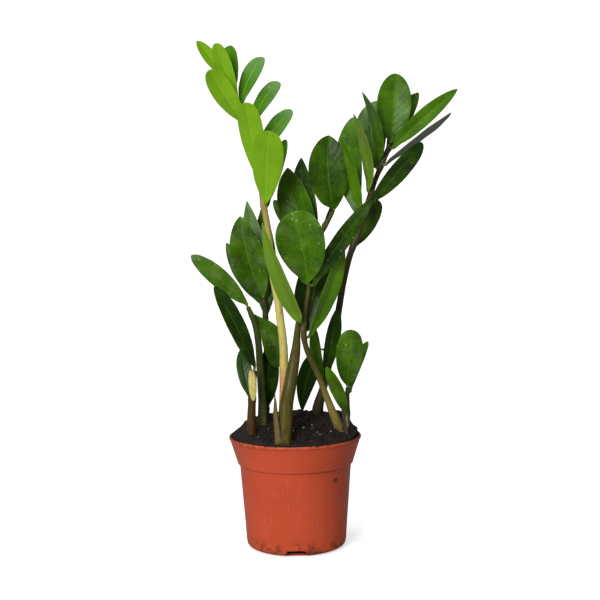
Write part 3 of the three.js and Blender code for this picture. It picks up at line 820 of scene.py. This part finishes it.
def blade_lines():
    """Midrib, side veins and rim of a blade, from where a point lies across and along it."""
    tree, w, given, out = new_group(
        "blade_lines",
        [(NUMBER, "Along", 0.5), (NUMBER, "Across", 0.5), (ARROW, "Vector", None)],
        [(NUMBER, "Midrib"), (NUMBER, "Veins"), (NUMBER, "Rim")],
    )
    off = w.math("ABSOLUTE", w.minus(given["Across"], 0.5))
    fade = w.span(given["Along"], 1.0, 0.6)
    w.join(w.times(w.span(off, 0.034, 0.006), fade), out["Midrib"])
    wobble = w.times(w.noise(given["Vector"], 120.0, 2.0), 1.6)
    turn = w.minus(w.times(given["Along"], 68.0), w.times(off, 46.0))
    turn = w.plus(turn, wobble)
    lines = w.math("SINE", turn)
    lines = w.span(lines, 0.35, 1.0)
    w.join(w.times(lines, w.span(off, 0.5, 0.36)), out["Veins"])
    w.join(w.span(off, 0.478, 0.5), out["Rim"])
    return tree


def new_finish(name):
    made = bpy.data.materials.new(name)
    made.use_nodes = True
    return made, Wiring(made.node_tree), made.node_tree.nodes["Principled BSDF"].inputs


def leaf_finish(name, groups, deep, fresh, below, rib, haze_colour, gloss, below_gloss):
    """Glossy living leaf: two greens in soft patches, a paler keel side, midrib, veins, dust, spots, a
    painted grey sheen on leaves marked for it, and a per-leaf brightness that is partly painted shade and
    light.
    """
    spots_tree, dust_tree, lines_tree = groups
    made, w, shader = new_finish(name)
    where = w.place()
    along, across, upper = w.mark("along"), w.mark("across"), w.mark("upper")
    tone_and_shade, spots_and_sheen = w.mark("tone_and_shade"), w.mark("spots_and_sheen")
    lines = w.group(lines_tree, Along=along, Across=across, Vector=where).outputs
    patches = w.span(w.noise(where, 55.0, 5.0), 0.3, 0.7)
    mottled = w.span(w.noise(where, 420.0, 3.0), 0.3, 0.7)
    # the per-leaf tone mixed in here is partly the leaf's own green and partly painted shade and light:
    # leaves deep in the clump are set darker, well-lit ones paler
    mix = w.plus(w.times(patches, 0.42), w.times(tone_and_shade, 0.75))
    mix = w.plus(mix, w.times(mottled, 0.14))
    top = w.blend(w.minus(mix, 0.14, clamp=True), deep, fresh)
    top = w.blend(w.times(lines["Midrib"], 0.4), top, rib)
    top = w.blend(w.times(lines["Veins"], 0.14), top, w.blend(0.5, top, rib))
    top = w.blend(w.times(lines["Rim"], 0.3), top, rib)
    # a tone above 0.95 pales the top towards the underside green: painted light on the most brightly lit
    # leaves (leaning_leaflet_1, tall_leaflet_7)
    top = w.blend(w.span(tone_and_shade, 0.95, 1.45), top, w.blend(w.times(patches, 0.3), below, fresh))
    side = w.span(upper, 0.35, 0.65)
    bottom = w.blend(mix, w.blend(0.5, below, deep), below)
    bottom = w.blend(w.times(lines["Midrib"], 0.35), bottom, rib)
    bottom = w.blend(w.times(lines["Veins"], 0.18), bottom, rib)
    # painted shade: the right half of the underside (across above 0.5) is drawn towards the darker top
    # colour, standing in for the shade that falls on that half
    bottom = w.blend(w.times(w.span(across, 0.49, 0.53), 0.24), bottom, top)
    base = w.blend(side, bottom, top)
    foot = w.span(along, 0.06, 0.015)
    base = w.blend(w.times(foot, 0.7), base, rib)
    haze = w.group(dust_tree, Vector=where, Patch_Size=70.0, Amount=spots_and_sheen).outputs[0]
    spots = w.group(spots_tree, Vector=where, Scale=300.0, Amount=w.times(spots_and_sheen, 0.34)).outputs[0]
    fine = w.group(spots_tree, Vector=where, Scale=720.0, Amount=w.times(spots_and_sheen, 0.3)).outputs[0]
    spots = w.math("MAXIMUM", spots, w.times(fine, 0.7))
    base = w.blend(w.times(haze, 0.32), base, haze_colour)
    base = w.blend(w.times(spots, 0.42), base, w.blend(0.35, haze_colour, (0.75, 0.8, 0.66, 1)))
    # painted sheen: leaves whose spots amount is above 1.1 are drawn towards a pale grey green that stands in
    # for a glossy highlight
    base = w.blend(w.span(spots_and_sheen, 1.1, 1.6, 0.0, 0.85), base, (0.2, 0.25, 0.16, 1))
    w.join(base, shader["Base Color"])
    rough = w.plus(w.times(side, gloss - below_gloss), below_gloss)
    rough = w.plus(rough, w.times(haze, 0.35))
    rough = w.plus(rough, w.times(spots, 0.2))
    rough = w.plus(rough, w.times(mottled, 0.05))
    w.join(rough, shader["Roughness"])
    shader["Specular IOR Level"].default_value = 0.16
    relief = w.times(lines["Veins"], -0.22)
    relief = w.plus(relief, w.times(w.noise(where, 900.0, 3.0), 0.5))
    relief = w.plus(relief, w.times(w.noise(where, 160.0, 3.0), 1.3))
    w.bump(shader, relief, 0.35, 0.0004)
    return made


def stem_finish(name, colours, low_at, high_at):
    """Satin stalk: one colour at the foot, one in the middle, one on top, with long flecks."""
    low_colour, mid_colour, high_colour, fleck = [colour + (1,) for colour in colours]
    made, w, shader = new_finish(name)
    where = w.place()
    height = w.mark("height")
    long = w.stretched(where, (1.0, 1.0, 0.22))
    base = w.blend(w.span(height, low_at[0], low_at[1]), low_colour, mid_colour)
    base = w.blend(w.span(height, high_at[0], high_at[1]), base, high_colour)
    streak = w.span(w.noise(long, 520.0, 4.0), 0.45, 0.68)
    base = w.blend(w.times(streak, 0.45), base, fleck)
    distance, numbers = w.cells(where, 620.0)
    speck = w.times(w.math("LESS_THAN", numbers[0], 0.22), w.span(distance, 0.32, 0.16))
    base = w.blend(w.times(speck, 0.6), base, fleck)
    # the stalks are darker towards the soil, in noisy patches
    darker_near_soil = w.times(w.span(height, 0.09, 0.0), w.span(w.noise(where, 260.0, 4.0), 0.35, 0.65))
    base = w.blend(w.times(darker_near_soil, 0.75), base, (0.02, 0.013, 0.008, 1))
    w.join(base, shader["Base Color"])
    w.join(w.plus(w.times(streak, 0.2), 0.36), shader["Roughness"])
    shader["Specular IOR Level"].default_value = 0.2
    w.bump(shader, w.plus(w.noise(long, 700.0, 3.0), speck), 0.5, 0.0003)
    return made


def husk_finish(name, pale, brown):
    made, w, shader = new_finish(name)
    along, across = w.mark("along"), w.mark("across")
    where = w.place()
    fibre = w.math("SINE", w.plus(w.times(across, 90.0), w.times(w.noise(where, 200.0), 9.0)))
    edge = w.math("ABSOLUTE", w.minus(across, 0.5))
    burnt = w.math("MAXIMUM", w.span(edge, 0.34, 0.5), w.span(along, 0.6, 1.0))
    burnt = w.plus(burnt, w.times(w.span(w.noise(where, 330.0), 0.45, 0.7), 0.5), clamp=True)
    base = w.blend(burnt, pale, brown)
    base = w.blend(w.times(w.span(fibre, 0.2, 1.0), 0.3), base, brown)
    w.join(base, shader["Base Color"])
    shader["Roughness"].default_value = 0.7
    w.bump(shader, fibre, 0.5, 0.0002)
    return made


def pot_finish():
    """Satin moulded plastic: faint turning lines, cloudy colour, dry scuffs and soil marks at the foot."""
    made, w, shader = new_finish("terracotta_plastic")
    shader["Specular IOR Level"].default_value = 0.2
    where = w.place()
    split = w.add("ShaderNodeSeparateXYZ")
    w.join(where, split.inputs[0])
    z = split.outputs["Z"]
    cloud = w.span(w.noise(where, 26.0, 4.0), 0.3, 0.7)
    base = w.blend(cloud, (0.5, 0.066, 0.022, 1), (0.57, 0.078, 0.028, 1))
    fine = w.span(w.noise(where, 900.0, 2.0), 0.3, 0.7)
    base = w.blend(w.times(fine, 0.12), base, (0.62, 0.14, 0.08, 1))
    foot = w.span(z, 0.016, 0.001)
    smear = w.span(w.noise(where, 150.0, 6.0, 0.65), 0.48, 0.6)
    dirt = w.times(smear, w.plus(w.times(foot, 0.75), 0.02))
    rim = w.span(z, 0.0835, 0.0885)
    rim_smear = w.times(rim, w.span(w.noise(where, 300.0, 4.0), 0.46, 0.62))
    dirt = w.plus(dirt, w.times(rim_smear, 0.5))
    flat = w.add("ShaderNodeCombineXYZ")
    w.join(split.outputs["X"], flat.inputs[0])
    w.join(split.outputs["Y"], flat.inputs[1])
    length = w.add("ShaderNodeVectorMath", operation="LENGTH")
    w.join(flat.outputs[0], length.inputs[0])
    from_axis = length.outputs["Value"]
    ragged = w.times(w.minus(w.noise(where, 240.0, 4.0), 0.62), 0.003)
    wall = w.plus(w.times(w.minus(z, COLLAR_Z), INNER_SLOPE), INNER_COLLAR_R)
    inner = w.span(w.plus(w.minus(from_axis, wall), ragged), 0.0018, 0.0008)
    dirt = w.plus(dirt, w.times(inner, w.span(z, 0.0855, 0.0875)), clamp=True)
    distance, numbers = w.cells(where, 75.0)
    blot = w.times(w.math("LESS_THAN", numbers[0], 0.1), w.span(distance, 0.13, 0.03))
    blot = w.times(blot, w.span(w.noise(where, 700.0, 3.0), 0.35, 0.6))
    dirt = w.math("MAXIMUM", dirt, w.times(blot, 0.8), clamp=True)
    gap = w.add("ShaderNodeVectorMath", operation="DISTANCE")
    w.join(where, gap.inputs[0])
    gap.inputs[1].default_value = STAIN_AT
    uneven = w.times(w.minus(w.noise(where, 500.0, 3.0), 0.5), 0.002)
    stain = w.span(w.plus(gap.outputs["Value"], uneven), 0.0032, 0.0014)
    dirt = w.math("MAXIMUM", dirt, w.times(stain, 0.75))
    base = w.blend(dirt, base, (0.05, 0.024, 0.012, 1))
    scratches = w.stretched(where, (1.0, 1.0, 0.08), (0.4, 0.2, 0.5))
    scuff = w.span(w.noise(scratches, 700.0, 3.0), 0.62, 0.72)
    base = w.blend(w.times(scuff, 0.18), base, (0.7, 0.28, 0.2, 1))
    w.join(base, shader["Base Color"])
    rough = w.plus(w.times(cloud, 0.07), 0.36)
    rough = w.plus(rough, w.times(dirt, 0.4))
    rough = w.plus(rough, w.times(scuff, 0.15), clamp=True)
    w.join(rough, shader["Roughness"])
    rings = w.math("SINE", w.times(z, 5200.0))
    relief = w.plus(w.times(rings, 0.05), w.times(w.noise(where, 220.0, 3.0), 0.5))
    relief = w.plus(relief, w.times(w.noise(where, 1500.0, 2.0), 0.15))
    w.bump(shader, relief, 0.25, 0.0004)
    return made


def earth_finish(name, dark, light, rough, grain=900.0):
    made, w, shader = new_finish(name)
    where = w.place()
    base = w.blend(w.span(w.noise(where, grain, 5.0, 0.7), 0.38, 0.7), dark, light)
    clump = w.span(w.noise(where, 130.0, 4.0), 0.35, 0.65)
    base = w.blend(w.times(clump, 0.5), base, dark)
    w.join(base, shader["Base Color"])
    shader["Roughness"].default_value = rough
    shader["Specular IOR Level"].default_value = 0.25
    w.bump(shader, w.noise(where, 1300.0, 5.0, 0.7), 0.9, 0.0008)
    return made


# ------------------------------------------------------------------ the plant
place_camera()
studio()

groups = (water_spots(), dust_film(), blade_lines())
leaf_green = leaf_finish(
    "mature_leaf",
    groups,
    deep=(0.0085, 0.032, 0.0005, 1),
    fresh=(0.098, 0.25, 0.002, 1),
    below=(0.16, 0.265, 0.022, 1),
    rib=(0.11, 0.22, 0.01, 1),
    haze_colour=(0.27, 0.36, 0.15, 1),
    gloss=0.3,
    below_gloss=0.42,
)
leaf_young = leaf_finish(
    "young_leaf",
    groups,
    deep=(0.033, 0.115, 0.0008, 1),
    fresh=(0.05, 0.18, 0.001, 1),
    below=(0.2, 0.41, 0.006, 1),
    rib=(0.26, 0.47, 0.02, 1),
    haze_colour=(0.35, 0.5, 0.12, 1),
    gloss=0.36,
    below_gloss=0.46,
)

stem_colours = {
    "front_stem": ((0.1, 0.078, 0.006), (0.055, 0.05, 0.006), (0.05, 0.06, 0.007), (0.13, 0.09, 0.02)),
    "young_stem": ((0.58, 0.25, 0.11), (0.55, 0.49, 0.13), (0.24, 0.18, 0.04), (0.34, 0.2, 0.07)),
    "leaning_stem": ((0.23, 0.18, 0.04), (0.06, 0.05, 0.012), (0.04, 0.05, 0.008), (0.14, 0.1, 0.04)),
    "tall_stem": ((0.028, 0.017, 0.007), (0.04, 0.034, 0.01), (0.05, 0.05, 0.012), (0.09, 0.07, 0.03)),
    "left_stem": ((0.09, 0.1, 0.022), (0.06, 0.085, 0.012), (0.05, 0.08, 0.01), (0.04, 0.03, 0.01)),
    "short_left_stem": ((0.08, 0.036, 0.008), (0.05, 0.04, 0.01), (0.05, 0.06, 0.01), (0.035, 0.016, 0.008)),
    "back_stem": ((0.035, 0.032, 0.01), (0.035, 0.04, 0.008), (0.035, 0.055, 0.008), (0.07, 0.055, 0.02)),
    "short_right_stem": ((0.1, 0.09, 0.035), (0.06, 0.08, 0.016), (0.05, 0.08, 0.012), (0.17, 0.14, 0.07)),
}
low_bands = {"young_stem": (0.13, 0.2), "leaning_stem": (0.06, 0.2), "short_left_stem": (0.03, 0.16)}

# (tone, spots amount) per family and, below, per leaf. The tone is partly the leaf's own green and partly
# painted shade and light: leaves deep inside the clump get low or negative tones, brightly lit ones high
# tones. A spots amount above 1.1 also paints a grey sheen.
leaf_look = {
    "young": (0.5, 0.03),
    "front": (0.1, 0.1),
    "leaning": (0.4, 0.4),
    "tall": (0.3, 0.15),
    "left": (0.32, 0.7),
    "short_left": (-0.12, 0.15),
    "back": (0.15, 0.5),
    "short_right": (0.3, 0.5),
}
own_look = {
    "front_leaflet_2": (0.0, 0.1),
    "front_leaflet_3": (0.45, 0.1),
    "front_leaflet_1": (0.16, 0.1),
    "front_leaflet_5": (0.1, 0.2),
    "leaning_leaflet_1": (1.35, 0.2),
    "leaning_leaflet_2": (0.8, 0.2),
    "leaning_leaflet_3": (0.36, 0.6),
    "leaning_leaflet_4": (-0.05, 0.35),
    "leaning_leaflet_5": (-0.25, 0.0),
    "tall_leaflet_1": (0.28, 0.05),
    "tall_leaflet_2": (0.5, 0.1),
    # the second number, 1.6, turns on the painted grey sheen for this leaf
    "tall_leaflet_4": (0.3, 1.6),
    "tall_leaflet_5": (-0.05, 0.15),
    "tall_leaflet_6": (0.5, 0.2),
    "tall_leaflet_7": (1.6, 0.2),
    "tall_leaflet_8": (1.0, 0.2),
    "tall_leaflet_9": (0.02, 0.05),
    "tall_leaflet_10": (0.3, 0.05),
    "tall_leaflet_11": (0.05, 0.1),
    "tall_leaflet_12": (0.5, 0.2),
    "tall_leaflet_13": (-0.15, 0.1),
    "tall_leaflet_14": (-0.35, 0.0),
    "back_leaflet_1": (0.3, 0.75),
    "back_leaflet_5": (-0.2, 0.1),
    "short_right_leaflet_3": (0.5, 0.4),
    "short_left_leaflet_2": (-0.3, 0.0),
}
pointed = ["front_leaflet_%d" % k for k in (1, 2, 3, 4)] + ["back_leaflet_%d" % k for k in (1, 2, 3, 4)]
pointed += ["tall_leaflet_%d" % k for k in (2, 4, 6, 7, 8)]
pointed += ["left_leaflet_1", "young_leaflet_4", "short_right_leaflet_2"]
flatness = {"young_leaflet_5": 0.4, "young_leaflet_6": 0.15, "young_leaflet_7": 0.15, "young_leaflet_8": 0.15}

# how much thicker than its frame solid a stalk is drawn
stoutness = {
    "tall_stem": 1.35, "short_left_stem": 1.25, "left_stem": 1.3, "back_stem": 1.2, "young_stem": 1.08
}
stalks, stalk_radii = {}, {}
for node in sorted(frame["nodes"]):
    if node.endswith("_stem"):
        prefix = node[: -len("_stem")] + "_leaflet_"
        centres, _ = stem_line(node)
        knobs = []
        for leaf in frame["nodes"]:
            if leaf.startswith(prefix):
                ends = cross_sections(leaf, 4)
                near = [np.linalg.norm(centres - end[0], axis=1).min() for end in (ends[0], ends[-1])]
                knobs.append(ends[0 if near[0] < near[1] else -1][0, 2])
        tube, line, radius = stem_tube(node, knobs, stoutness.get(node, 1.0))
        low_band = low_bands.get(node, (0.0, 0.14))
        finish = stem_finish(node + "_skin", stem_colours[node], low_band, (0.36, 0.68))
        slot_name = "young_stem" if node == "young_stem" else "stem"
        finish_piece(tube, finish, slot_name, node)
        stalks[node] = line
        stalk_radii[node] = radius

for node in sorted(frame["nodes"]):
    if "_leaflet_" in node:
        family = node.split("_leaflet_")[0]
        tone_and_shade, spots_and_sheen = own_look.get(node, leaf_look[family])
        jitter = np.random.default_rng(sum(map(ord, node))).uniform(-0.08, 0.08)
        flat = flatness.get(node, USUAL_FOLD)
        blunt = SHARP_TIP if node in pointed else ROUND_TIP
        blade = leaf_blade(node, stalks[family + "_stem"], tone_and_shade + jitter, spots_and_sheen, flat, blunt)
        young = family == "young"
        finish_piece(blade, leaf_young if young else leaf_green, "young_leaf" if young else "leaf", node)

husk_tones = {
    "front_stem_husk": ((0.15, 0.12, 0.02, 1), (0.07, 0.035, 0.018, 1)),
    "leaning_stem_husk": ((0.1, 0.06, 0.03, 1), (0.04, 0.02, 0.015, 1)),
    "short_left_stem_husk": ((0.7, 0.62, 0.2, 1), (0.4, 0.3, 0.08, 1)),
    "short_right_stem_husk": ((0.6, 0.56, 0.45, 1), (0.3, 0.22, 0.14, 1)),
}
for node, (pale, brown) in husk_tones.items():
    stalk = node[: -len("_husk")]
    hug = (stalks[stalk], stalk_radii[stalk]) if node == "front_stem_husk" else None
    finish_piece(husk_scale(node, hug), husk_finish(node + "_paper", pale, brown), "husk", node)

finish_piece(make_pot(), pot_finish(), "pot", "pot")

soil, crumbs, chips, grains = make_soil()
peat = earth_finish("damp_peat", (0.006, 0.004, 0.0025, 1), (0.032, 0.02, 0.012, 1), 0.85)
finish_piece(soil, peat, "soil", "soil")
finish_piece(crumbs, peat, "soil")
bark = earth_finish("bark", (0.02, 0.011, 0.006, 1), (0.09, 0.055, 0.028, 1), 0.8, 500.0)
perlite = earth_finish("perlite", (0.3, 0.27, 0.24, 1), (0.7, 0.68, 0.63, 1), 0.8, 1500.0)
finish_piece(chips, bark, "soil")
finish_piece(grains, perlite, "soil")
